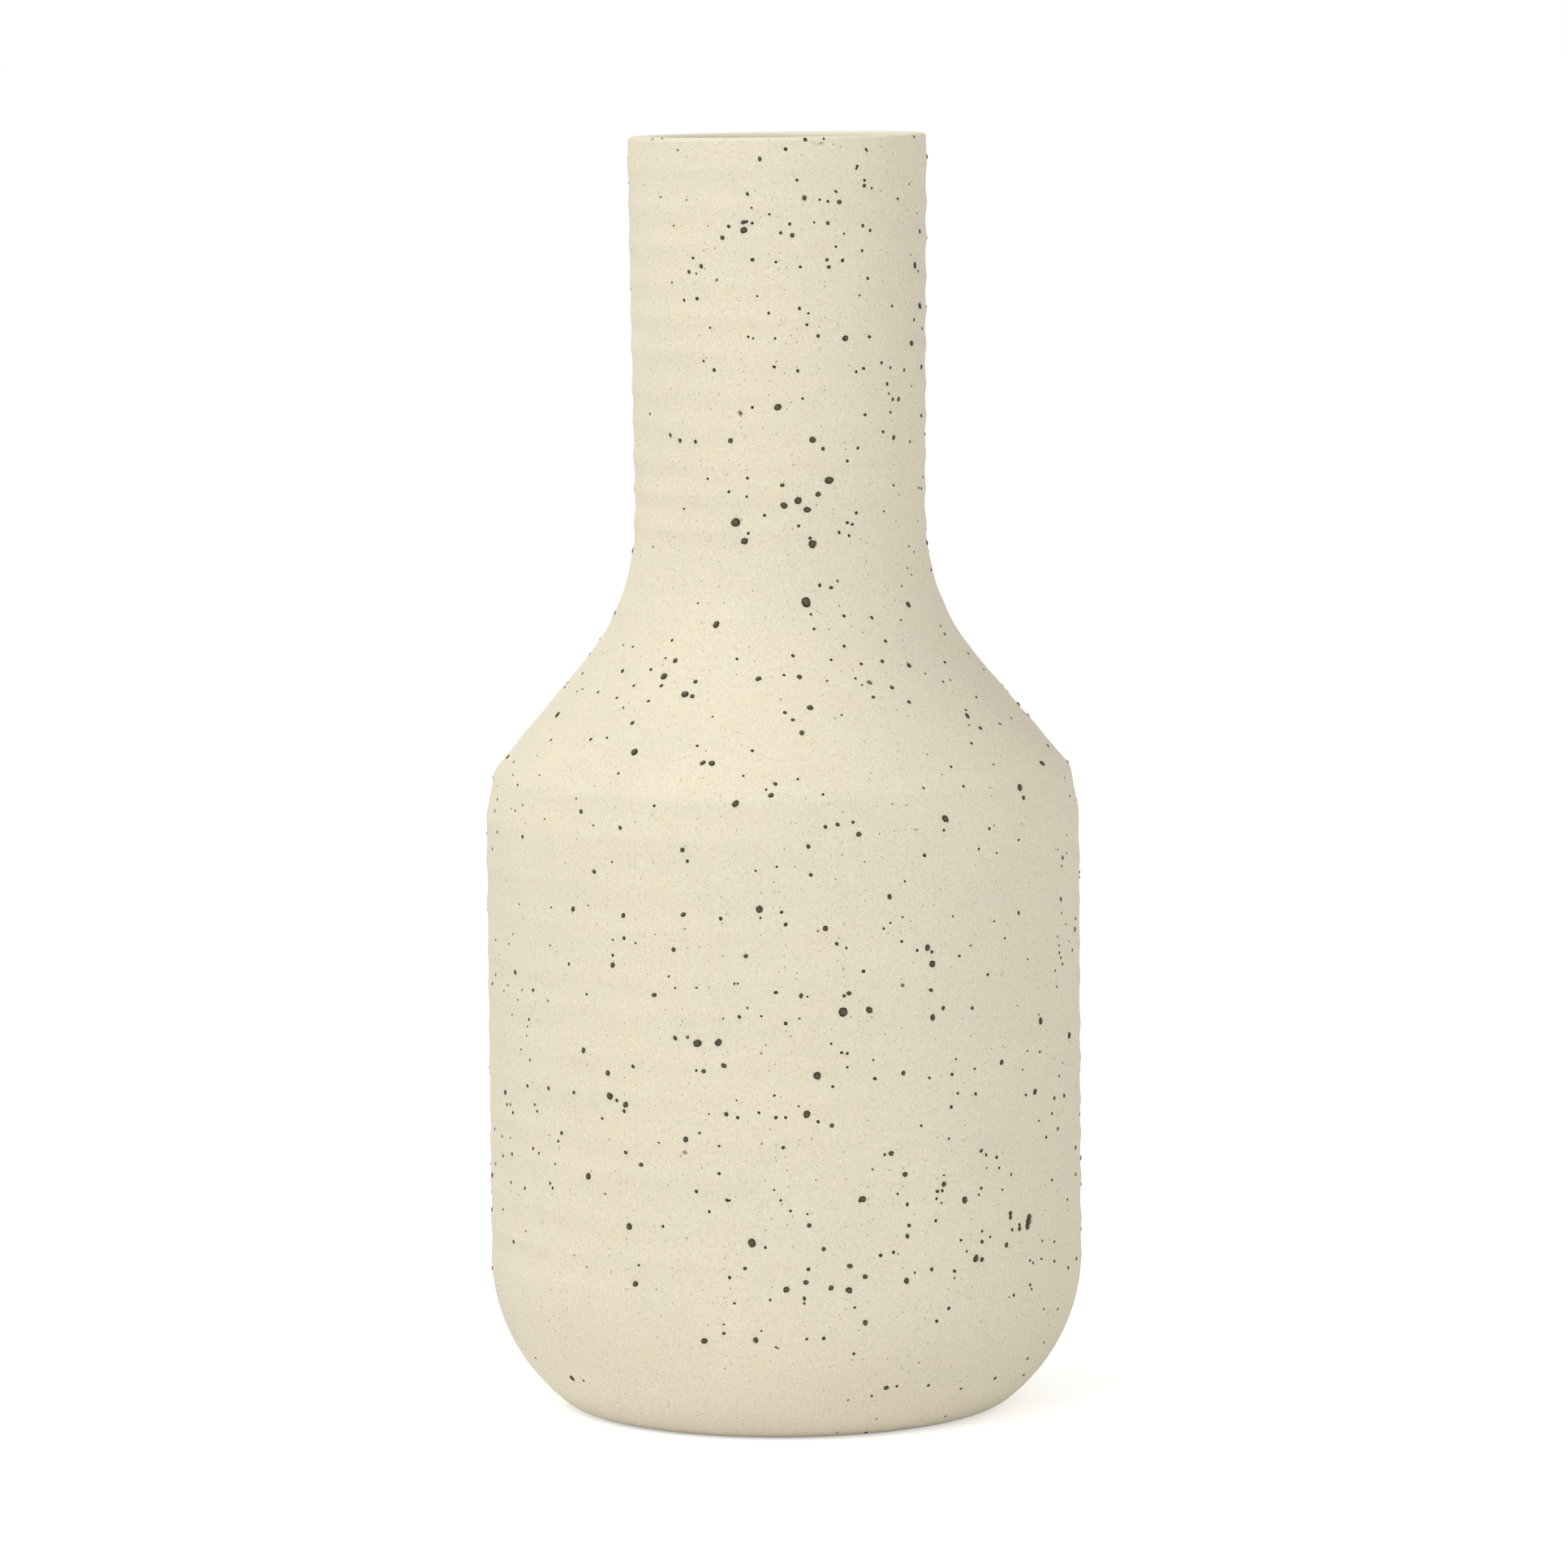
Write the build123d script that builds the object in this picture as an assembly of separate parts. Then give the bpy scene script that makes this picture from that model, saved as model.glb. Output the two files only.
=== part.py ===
from build123d import *
import os
from bisect import bisect
from math import acos, asin, cos, degrees, hypot, radians, tan

# Stoneware bottle vase in millimetres, +Z up, with the origin at the centre of the foot and the front at -Y.
# Every section below is drawn as (radius, height) and turned about Z.

# Overall sizes
vase_height = 300.0
body_diameter = 140.0
waist_diameter = 68.4

# Outer outline: two arcs for the heel, a drawn-in band, the sloping shoulder and the flare into the neck
foot_inset = 23.0
foot_curve_radius = 11.0
heel_height = 36.0
shoulder_height = 151.0
shoulder_band = 10.5
shoulder_tuck = 2.0
shoulder_angle = 40.0
band_radius = 40.0
shoulder_radius = 8.0
flare_radius = 52.0
rim_flare = 0.8
lip_radius = 1.1

# Inside, and the recess that leaves a foot ring to stand on
wall_thickness = 5.0
neck_thickness = 4.7
floor_thickness = 8.0
inner_heel_radius = 26.0
inner_shoulder_radius = 10.0
foot_ring_width = 10.0
recess_depth = 1.5

# Throwing rings round body and neck: crest to crest, and crest to trough
body_ring_pitch = 9.6
neck_ring_pitch = 8.2
ring_depth = 0.4

# Glaze coats inside and out, and the bare height left at the foot
glaze_thickness = 0.5
dry_foot_height = 0.4

# Bevelled joint of neck and body, its rise over the corner of shoulder and neck, and the slip that beds it
joint_rise = 25.0
joint_angle = 30.0
slip_thickness = 0.6

# Iron spots: the largest one across, its clearance over the coat, and how far each stands out for its width
spot_diameter = 2.4
spot_clearance = 0.08
spot_rise_share = 0.22

# Places of the spots: turn from the front in degrees, share of the climb from heel to lip, share of the largest
neck_spot_shares = (
    (-13.0, 0.926, 0.65),
    (26.5, 0.834, 0.60),
    (-0.5, 0.777, 0.70),
    (13.0, 0.749, 0.65),
    (19.5, 0.715, 0.80),
    (7.0, 0.698, 0.70),
    (1.5, 0.694, 0.65),
    (10.5, 0.690, 0.65),
    (-17.5, 0.680, 0.95),
    (-14.0, 0.664, 0.70),
    (12.5, 0.661, 0.80),
    (9.0, 0.612, 1.00),
    (-22.5, 0.592, 0.70),
)
shoulder_spot_shares = (
    (-6.5, 0.541, 0.55),
    (-35.5, 0.541, 0.70),
    (-26.5, 0.524, 0.75),
    (51.0, 0.493, 0.55),
    (-34.0, 0.463, 0.75),
    (-15.0, 0.455, 0.65),
    (67.5, 0.435, 0.70),
)
body_spot_shares = (
    (53.5, 0.417, 0.70),
    (-9.0, 0.416, 0.65),
    (32.5, 0.398, 0.70),
    (-4.5, 0.328, 0.70),
    (28.0, 0.291, 0.60),
    (29.0, 0.277, 0.65),
    (16.0, 0.242, 0.65),
    (11.0, 0.241, 0.90),
    (29.0, 0.232, 0.60),
    (-12.5, 0.216, 0.70),
    (-16.5, 0.215, 0.80),
    (6.0, 0.188, 0.75),
    (-35.0, 0.166, 0.70),
    (-31.5, 0.160, 0.60),
    (4.0, 0.156, 0.70),
    (-19.0, 0.134, 0.55),
    (-40.5, 0.096, 0.65),
    (14.5, 0.083, 0.70),
    (36.0, 0.075, 0.65),
    (-31.0, 0.057, 0.65),
    (-6.5, 0.048, 0.80),
    (38.5, 0.024, 0.70),
)

# One length by which the joint's cut passes through the wall
overrun = 4.0

# Radii and heights that follow from the sizes above
body_radius = body_diameter / 2
neck_radius = waist_diameter / 2
rim_radius = neck_radius + rim_flare
mouth_radius = neck_radius - neck_thickness
foot_radius = body_radius - foot_inset
recess_radius = foot_radius - foot_ring_width
crest_radius = (rim_radius + mouth_radius) / 2
lip_height = vase_height - lip_radius
slope = radians(shoulder_angle)
bevel = tan(radians(joint_angle))

# The heel's upper arc, tangent to the upright wall and to the small arc that turns under to the foot ring
heel_rise = heel_height - foot_curve_radius
heel_radius = (heel_rise**2 + foot_inset**2 - foot_curve_radius**2) / (2 * (foot_inset - foot_curve_radius))
heel_turn = degrees(asin(heel_rise / (heel_radius - foot_curve_radius)))
dry_foot_turn = degrees(acos(1 - dry_foot_height / foot_curve_radius))


def shoulder_height_at(radius, depth):
    """Height on the straight shoulder, depth below its surface, at a radius."""
    edge_radius = body_radius - shoulder_tuck - depth / cos(slope)
    return shoulder_height + (edge_radius - radius) / tan(slope)


root_height = shoulder_height_at(neck_radius, 0)
joint_height = root_height + joint_rise

# Smooth outer outline from the top of the heel to the start of the lip
outline = FilletPolyline(
    (body_radius, heel_height),
    (body_radius, shoulder_height - shoulder_band),
    (body_radius - shoulder_tuck, shoulder_height),
    (neck_radius, root_height),
    (neck_radius, joint_height),
    (rim_radius, lip_height),
    radius=(band_radius, shoulder_radius, flare_radius, 0),
)


def ring_marks():
    """Shares of the climb where troughs and crests of the throwing rings begin, with the last end."""
    neck_length = hypot(rim_radius - neck_radius, lip_height - joint_height)
    body_length = outline.length - neck_length
    body_count = 2 * round(body_length / body_ring_pitch)
    neck_count = 2 * round(neck_length / neck_ring_pitch)
    body_marks = [body_length * step / body_count for step in range(body_count)]
    neck_marks = [body_length + neck_length * step / neck_count for step in range(neck_count + 1)]
    return [mark / outline.length for mark in body_marks + neck_marks]


ring_mark_shares = ring_marks()


def ring_wave(climb_share):
    """Lift of the throwing rings over the smooth outline, and its slope along the climb."""
    step = bisect(ring_mark_shares, climb_share) - 1
    start, end = ring_mark_shares[step : step + 2]
    along = (climb_share - start) / (end - start)
    height = ring_depth * 2 if step % 2 else -ring_depth * 2
    lift = height * along * (1 - along)
    steepness = height * (1 - 2 * along) / (end - start) / outline.length
    return lift, steepness


def wall_point(climb_share, lift):
    """Point at a share of the climb, lifted off the smooth outline."""
    heading = outline.tangent_at(climb_share)
    return outline.position_at(climb_share) + Vector(heading.Y, -heading.X) * lift


def ringed_wall(depth):
    """Outer wall with its throwing rings, one arc to each crest or trough, depth below the surface."""
    edges = []
    for start, end in zip(ring_mark_shares, ring_mark_shares[1:]):
        middle = (start + end) / 2
        crown = wall_point(middle, ring_wave(middle)[0] - depth)
        edges.append(ThreePointArc(wall_point(start, -depth), crown, wall_point(end, -depth)))
    return edges


def foot_curve(start, end, depth):
    """Stretch of the small arc at the foot between two turns up from its lowest point."""
    centre = (foot_radius, foot_curve_radius)
    return CenterArc(centre, foot_curve_radius - depth, start - 90, end - start)


def heel_arcs(depth):
    """Both arcs of the heel from the top of the bare foot to the upright wall, depth below the surface."""
    centre = (body_radius - heel_radius, heel_height)
    upper = CenterArc(centre, heel_radius - depth, -heel_turn, heel_turn)
    return [foot_curve(dry_foot_turn, 90 - heel_turn, depth), upper]


def outer_line(depth):
    """Outer side from the top of the bare foot to the crest of the lip, depth below the surface."""
    edges = [*heel_arcs(depth), *ringed_wall(depth)]
    lip_top = (rim_radius - lip_radius, vase_height - depth)
    edges.append(TangentArc(edges[-1] @ 1, lip_top, tangent=(0, 1)))
    edges.append(Line(lip_top, (crest_radius, vase_height - depth)))
    return edges


def inner_line(depth):
    """Inner side from the crest of the lip to the middle of the floor, depth behind the surface."""
    bowl_radius = body_radius - wall_thickness + depth
    bore_radius = mouth_radius + depth
    floor_height = floor_thickness - depth
    lip_top = (mouth_radius + lip_radius, vase_height - depth)
    crest = Line((crest_radius, vase_height - depth), lip_top)
    lip = TangentArc((bore_radius, lip_height), lip_top, tangent=(0, 1))
    hollow = FilletPolyline(
        (bore_radius, lip_height),
        (bore_radius, shoulder_height_at(bore_radius, wall_thickness - depth)),
        (bowl_radius, shoulder_height_at(bowl_radius, wall_thickness - depth)),
        (bowl_radius, floor_height),
        (0, floor_height),
        radius=(
            flare_radius + wall_thickness - depth,
            inner_shoulder_radius + depth,
            inner_heel_radius + depth,
        ),
    )
    return [crest, lip, *hollow.edges()]


def glaze_sections():
    """Sections of the outer coat and of the liner, which meet on the crest of the lip."""
    coat_foot = Line(heel_arcs(0)[0] @ 0, heel_arcs(glaze_thickness)[0] @ 0)
    crest = Line((crest_radius, vase_height), (crest_radius, vase_height - glaze_thickness))
    floor_middle = Line((0, floor_thickness), (0, floor_thickness - glaze_thickness))
    coat = make_face([*outer_line(0), crest, *outer_line(glaze_thickness), coat_foot])
    liner = make_face([*inner_line(0), crest, *inner_line(glaze_thickness), floor_middle])
    return coat, liner


def clay_section():
    """Section of the clay under both coats, with the bare foot and its recess."""
    underside = Polyline(
        (0, floor_thickness - glaze_thickness),
        (0, recess_depth),
        (recess_radius, recess_depth),
        (recess_radius, 0),
        (foot_radius, 0),
    )
    bare_heel = foot_curve(0, dry_foot_turn, 0)
    ledge = Line(bare_heel @ 1, heel_arcs(glaze_thickness)[0] @ 0)
    sides = [*outer_line(glaze_thickness), *inner_line(glaze_thickness)]
    return make_face([*underside.edges(), bare_heel, ledge, *sides])


def joint_band():
    """Slanting band of slip across the wall, lowest at the outside."""
    inside = mouth_radius - overrun
    outside = neck_radius + overrun
    low = joint_height - overrun * bevel
    high = low + (outside - inside) * bevel
    corners = (
        (outside, low),
        (outside, low + slip_thickness),
        (inside, high + slip_thickness),
        (inside, high),
    )
    return make_face(Polyline(*corners, close=True))


def turned(section):
    """Solid made by turning a (radius, height) section about Z."""
    return revolve(Plane.XZ * section, Axis.Z)


def iron_spot(turn, climb_share, size_share):
    """Bead of melted iron, a cap that lies square on the ringed coat."""
    width = spot_diameter * size_share
    rise = width * spot_rise_share
    ball_radius = (width**2 / 4 + rise**2) / (2 * rise)
    base_latitude = degrees(asin(1 - rise / ball_radius))
    cap = Sphere(ball_radius, arc_size1=base_latitude, align=(Align.CENTER, Align.CENTER, Align.MIN))
    lift, steepness = ring_wave(climb_share)
    heading = outline.tangent_at(climb_share)
    base = wall_point(climb_share, lift + spot_clearance)
    outward = (heading.Y - heading.X * steepness, 0, -heading.X - heading.Y * steepness)
    seat = Plane((base.X, 0, base.Y), z_dir=outward)
    return Rot(Z=turn - 90) * seat.location * cap


def iron_spots():
    """Spots of the front, and of the back with each group's climb turned over."""
    beads = []
    for group in (neck_spot_shares, shoulder_spot_shares, body_spot_shares):
        climbs = [climb for turn, climb, size in group]
        for turn, climb, size in group:
            beads.append(iron_spot(turn, climb, size))
            beads.append(iron_spot(turn + 180, min(climbs) + max(climbs) - climb, size))
    return Compound(label="iron_spots", children=[bead.solid() for bead in beads])


def vase():
    """Every piece of the vase by name."""
    coat, liner = glaze_sections()
    clay = clay_section()
    band = joint_band()
    body, neck = (clay - band).faces().sort_by(Axis.Y)
    return {
        "body_section": turned(body),
        "neck_section": turned(neck),
        "luting_slip": turned(clay & band),
        "outer_glaze": turned(coat),
        "liner_glaze": turned(liner),
        "iron_spots": iron_spots(),
    }


os.makedirs("parts", exist_ok=True)
for name, piece in vase().items():
    export_step(piece, f"parts/{name}.step")
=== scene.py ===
"""Looks of a speckled stoneware bottle vase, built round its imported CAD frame."""

import logging
import math
import random
from bisect import bisect
from collections.abc import Iterator
from dataclasses import dataclass, field
from enum import Enum

import bmesh
import bpy
from mathutils import Color, Matrix, Vector, noise
from mathutils.bvhtree import BVHTree


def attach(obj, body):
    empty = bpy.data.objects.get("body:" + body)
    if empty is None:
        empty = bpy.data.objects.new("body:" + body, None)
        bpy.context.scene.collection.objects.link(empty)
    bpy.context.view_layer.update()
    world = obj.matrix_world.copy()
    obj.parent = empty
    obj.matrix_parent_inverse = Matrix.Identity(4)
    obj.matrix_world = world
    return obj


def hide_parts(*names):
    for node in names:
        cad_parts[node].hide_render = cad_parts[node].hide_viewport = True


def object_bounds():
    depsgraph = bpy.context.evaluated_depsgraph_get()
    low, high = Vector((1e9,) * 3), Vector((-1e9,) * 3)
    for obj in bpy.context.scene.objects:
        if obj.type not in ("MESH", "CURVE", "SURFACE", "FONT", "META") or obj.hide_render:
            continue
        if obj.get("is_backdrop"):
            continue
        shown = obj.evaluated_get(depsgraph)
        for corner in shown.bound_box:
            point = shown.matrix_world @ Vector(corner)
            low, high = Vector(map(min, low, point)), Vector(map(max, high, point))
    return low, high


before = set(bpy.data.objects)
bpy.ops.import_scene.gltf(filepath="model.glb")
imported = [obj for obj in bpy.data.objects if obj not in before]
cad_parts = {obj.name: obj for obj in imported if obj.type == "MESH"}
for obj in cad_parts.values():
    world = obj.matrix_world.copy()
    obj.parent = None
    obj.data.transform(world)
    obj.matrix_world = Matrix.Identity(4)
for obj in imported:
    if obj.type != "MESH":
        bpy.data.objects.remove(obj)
cad_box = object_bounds()

log = logging.getLogger("vase")

MM = 0.001
MERGE = 0.001 * MM
SHARP_DEG = 50.0

Socket = bpy.types.NodeSocket
Rgba = tuple[float, float, float, float]
Feed = Socket | float | tuple[float, ...]
Spot = tuple[float, float, float]

# Iron spots read on the photograph: pixel across, pixel down, width in pixels
NECK_SPOTS: tuple[Spot, ...] = (
    (936, 196, 5.6), (968, 184, 5), (991, 244, 6.5), (1034, 249, 6.5), (1065, 229, 5), (1065, 222, 4),
    (1056, 205, 4), (921, 239, 4.5), (916, 274, 6), (898, 279, 5), (890, 293, 6), (976, 290, 6),
    (962, 287, 4.5), (1020, 275, 5), (864, 328, 6), (849, 335, 5), (859, 368, 5), (1021, 329, 5),
    (1019, 320, 4.5), (1038, 321, 5), (1069, 343, 4.5), (1072, 284, 4.5), (985, 380, 4.5), (947, 386, 4),
    (1127, 327, 8), (1133, 377, 9), (1071, 415, 5), (1008, 414, 5), (1123, 423, 8), (1101, 539, 6),
    (1107, 492, 6), (1093, 473, 5), (900, 543, 7), (838, 543, 6), (826, 536, 5), (857, 544, 5),
    (1014, 553, 5), (1008, 609, 7), (992, 172, 5.5), (1020, 248, 4), (1010, 246, 3.5), (1030, 236, 4),
    (982, 222, 4), (1074, 232, 3.5), (1067, 184, 4), (1120, 227, 3), (1106, 245, 4), (1063, 278, 4.5),
    (1003, 274, 3), (973, 276, 4), (948, 264, 3.5), (927, 275, 4), (830, 278, 3), (814, 243, 3),
    (835, 185, 3), (854, 318, 4), (927, 320, 5), (956, 323, 4), (986, 329, 4), (1030, 304, 3.5),
    (1062, 309, 4), (1122, 314, 3), (1133, 285, 6), (1130, 263, 3), (1040, 288, 3), (926, 256, 3),
    (1126, 168.5, 4), (1015, 171, 3.5), (1131, 334, 4), (858, 337, 3), (828, 348, 3), (843, 370, 4),
    (933, 365, 3),
    (996, 386, 3.5), (994, 400, 4), (875, 404, 3), (922, 415, 3.5), (928, 417, 3), (955, 417, 3.5),
    (1099, 377, 4), (1126, 394, 5), (1136, 405, 5), (1059, 364, 3), (867, 445, 3.5), (880, 456, 5),
    (954, 452, 4.5), (983, 457, 4.5), (1055, 458, 4), (1064, 454, 4.5), (1086, 447, 4.5), (1097, 453, 4),
    (1114, 456, 4.5), (1135, 452, 7), (1100, 492, 5), (1123, 476, 3), (989, 491, 3.5), (927, 502, 4),
    (1066, 511, 4.5), (1097, 508, 4), (1135, 512, 6), (1057, 552, 4), (1044, 568, 4.5), (1088, 532, 4.5),
    (1121, 544, 4), (872, 590, 3.5), (921, 589, 4), (898, 606, 4), (920, 612, 3.5), (964, 598, 5.5),
    (1101, 598, 3.5), (1132, 601, 4), (1135, 602, 4), (1137, 588, 4), (843, 627, 3), (942, 635, 4),
    (1055, 632, 4.5), (1044, 644, 4.5), (1050, 646, 4), (984, 648, 4), (1034, 656, 4.5), (1046, 660, 4),
    (998, 663, 4.5), (922, 657, 4), (1089, 630, 3), (805, 674, 3), (1120, 673, 3), (1126, 680, 3),
    (920, 273, 4), (1055, 207.8, 3), (1068, 186.4, 2.8),
)
SHOULDER_SPOTS: tuple[Spot, ...] = (
    (832, 814, 7), (767, 827, 6), (815, 845, 5.5), (857, 840, 6), (853, 858, 6.5), (977, 808, 5),
    (779, 891, 6), (687, 881, 8), (626, 933, 7), (866, 940, 7), (967, 878, 5), (977, 887, 5), (955, 966, 6),
    (950, 980, 7), (1119, 745, 8), (1120, 820, 7), (1087, 815, 5.5), (1091, 790, 5), (1099, 847, 6),
    (1120, 865, 6), (1076, 859, 5), (985, 834, 7), (998, 872, 8), (988, 903, 7), (1208, 897, 6),
    (1261, 983, 6), (762, 953, 4), (665, 955, 3), (632, 955, 3), (916, 956, 3.5), (983, 960, 4),
    (944, 973, 3.5), (1014, 979, 3.5), (1138, 971, 4), (1187, 969, 4), (1172, 945, 4), (1118, 700, 3),
    (1147, 702, 5), (1123, 708, 3), (1010, 721, 5), (1024, 724, 5), (1111, 722, 3), (999, 757, 3.5),
    (1003, 775, 4), (1040, 759, 4.5), (1074, 761, 4.5), (1110, 764, 3), (860, 743, 3), (756, 759, 3),
    (828, 789, 4), (768, 795, 3), (780, 797, 3.5), (1040, 796, 4.5), (908, 812, 4), (1024, 813, 4),
    (1061, 818, 4.5), (820, 811, 3.5), (1140, 830, 3), (802, 825, 4.5), (781, 845, 4), (966, 832, 4),
    (1054, 836, 4), (1062, 844, 3), (799, 864, 4.5), (768, 872, 3.5), (878, 883, 3), (1037, 881, 3),
    (727, 806, 4), (718, 830, 4.5), (718, 849, 3.5), (737, 853, 4), (711, 852, 3), (760, 860, 4),
    (696, 847, 4), (748, 909, 4), (728, 911, 5), (679, 912, 4), (633, 939, 4), (638, 967, 4), (859, 919, 4),
    (927, 925, 4.5), (1164, 781, 4.5), (1159, 771, 3.5), (1164, 816, 4.5), (1193, 805, 4), (1162, 840, 3.5),
    (1171, 838, 3), (1212, 825, 3.5), (1203, 859, 4), (1190, 875, 4), (1194, 893, 3), (1197, 916, 4.5),
    (1232, 892, 4), (1246, 885, 3.5), (1291, 919, 5), (1224, 942, 3), (1318, 981, 4), (1312, 958, 3),
)
BODY_SPOTS: tuple[Spot, ...] = (
    (716, 1000, 6), (764, 1020, 5), (1058, 1028, 7), (1032, 1016, 5.5), (1017, 1019, 5), (1051, 1013, 4.5),
    (996, 1043, 6), (841, 1047, 6), (847, 1061, 4.5), (1139, 1054, 5), (999, 1078, 5), (1096, 1105, 6.5),
    (842, 1127, 6.5), (768, 1128, 6), (706, 1120, 7), (888, 1132, 5), (968, 1139, 5.5), (1017, 1144, 7),
    (1031, 1163, 5), (769, 1156, 5), (755, 1189, 7), (755, 1177, 4), (830, 1170, 6), (919, 1178, 6),
    (1064, 1197, 5), (1147, 1220, 5), (806, 1226, 6.5), (657, 1220, 5), (956, 1223, 5), (987, 1227, 6),
    (1046, 1224, 6), (1040, 1227, 4.5), (1162, 1242, 5.5), (1198, 1242, 5), (911, 1253, 5), (968, 1261, 5),
    (1282, 1258, 9), (1317, 1276, 9), (832, 1279, 6), (719, 1294, 7), (1234, 1309, 7), (892, 1313, 7),
    (780, 1314, 5), (867, 1320, 6), (749, 1322, 7), (1113, 1322, 6), (1173, 1324, 5), (1078, 1329, 5),
    (1275, 1345, 8), (1202, 1348, 5), (760, 1356, 5), (676, 1341, 5), (707, 1346, 5), (650, 1338, 5),
    (895, 1373, 6), (956, 1377, 5), (1025, 1387, 6), (1008, 1382, 4.5), (965, 1414, 5), (771, 1420, 5),
    (1098, 1421, 7), (1209, 1418, 5.5), (1228, 1426, 5), (790, 1435, 6), (671, 1009, 3), (644, 1031, 5),
    (731, 1017, 3), (732, 1074, 6), (754, 1062, 3), (806, 993, 4), (644, 992, 3), (613, 985, 4),
    (613, 1025, 4), (635, 999, 3), (710, 984, 3), (1163, 1023, 4), (1219, 1021, 4.5), (1255, 1035, 4),
    (1206, 1046, 4), (1228, 1051, 3), (1314, 1029, 3), (1115, 1086, 3), (963, 1124, 4.5), (937, 1131, 3),
    (679, 1118, 3), (640, 1114, 3), (1255, 1125, 5), (1225, 1135, 3), (1174, 1129, 3), (1112, 1130, 3),
    (1307, 1108, 6), (1308, 1125, 3), (1325, 1132, 5), (1089, 1144, 3.5), (1043, 1168, 3.5),
    (1111, 1160, 4), (1130, 1171, 4), (1148, 1173, 4.5), (1182, 1178, 4), (1238, 1156, 3.5),
    (1266, 1182, 3), (1217, 1201, 4.5), (1303, 1154, 3), (1305, 1165, 3.5), (1307, 1180, 4),
    (1309, 1188, 4.5), (1300, 1196, 4), (1321, 1171, 4), (1317, 1160, 3), (1302, 1216, 3.5), (755, 1158, 3),
    (783, 1162, 3), (701, 1188, 4), (678, 1165, 3), (611, 1158, 4), (635, 1198, 6), (626, 1214, 3),
    (621, 1221, 3), (675, 1233, 3), (723, 1225, 3.5), (858, 1217, 3), (905, 1212, 3), (995, 1228, 3),
    (921, 1242, 3), (891, 1255, 3), (938, 1252, 3.5), (985, 1255, 3), (858, 1319, 3.5), (1024, 1286, 3.5),
    (1037, 1297, 4), (1044, 1298, 4), (1044, 1315, 3.5), (1076, 1306, 3), (1145, 1328, 4),
    (1201, 1317, 3.5), (1260, 1318, 3), (1280, 1250, 3), (1281, 1296, 4), (1266, 1295, 3), (1309, 1310, 3),
    (1305, 1326, 4), (652, 1256, 4), (650, 1265, 3), (649, 1276, 3), (631, 1250, 3), (642, 1293, 3),
    (653, 1306, 3.5), (610, 999, 4), (607, 1046, 4), (931, 1073, 3), (957, 1068, 3), (632, 1151, 3),
    (627, 1163, 3), (611, 1201, 4), (607, 1212, 5), (638, 1232, 3), (643, 1220, 3), (824, 1203, 3),
    (832, 1217, 3), (909, 1212, 3), (1026, 1339, 4), (954, 1350, 3.5), (1178, 1305, 3), (1180, 1347, 4),
    (1172, 1364, 4.5), (1135, 1387, 3.5), (1169, 1403, 3.5), (1264, 1349, 4.5), (1299, 1353, 5.5),
    (1311, 1350, 6), (1296, 1372, 4.5), (1280, 1381, 3.5), (1303, 1391, 5), (1289, 1401, 4.5),
    (1325, 1414, 6), (984, 1363, 3), (968, 1377, 4), (1075, 1441, 3), (1090, 1423, 4), (1215, 1423, 4),
    (1231, 1439, 3.5), (1309, 1057, 5.5), (1314, 1051, 3.5), (1308, 1067, 3.5), (1303, 1047, 3),
    (1313, 1139, 3), (1324, 1145, 6), (1305, 1174, 4), (1196, 1165, 3), (1097, 1137, 3), (623, 1346, 7),
    (625, 1361, 4.5), (629, 1361, 4), (632, 1371, 5), (659, 1361, 4), (662, 1369, 4), (742, 1378, 4),
    (769, 1369, 5), (692, 1396, 5), (688, 1406, 4), (610, 1391, 4.5), (619, 1400, 4), (629, 1402, 3),
    (657, 1415, 4.5), (664, 1421, 4), (631, 1422, 5), (620, 1424, 4.5), (611, 1434, 4), (684, 1434, 3),
    (812, 1408, 3), (886, 1412, 3.5), (909, 1377, 4.5), (935, 1371, 4), (753, 1350, 3.5),
)
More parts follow.
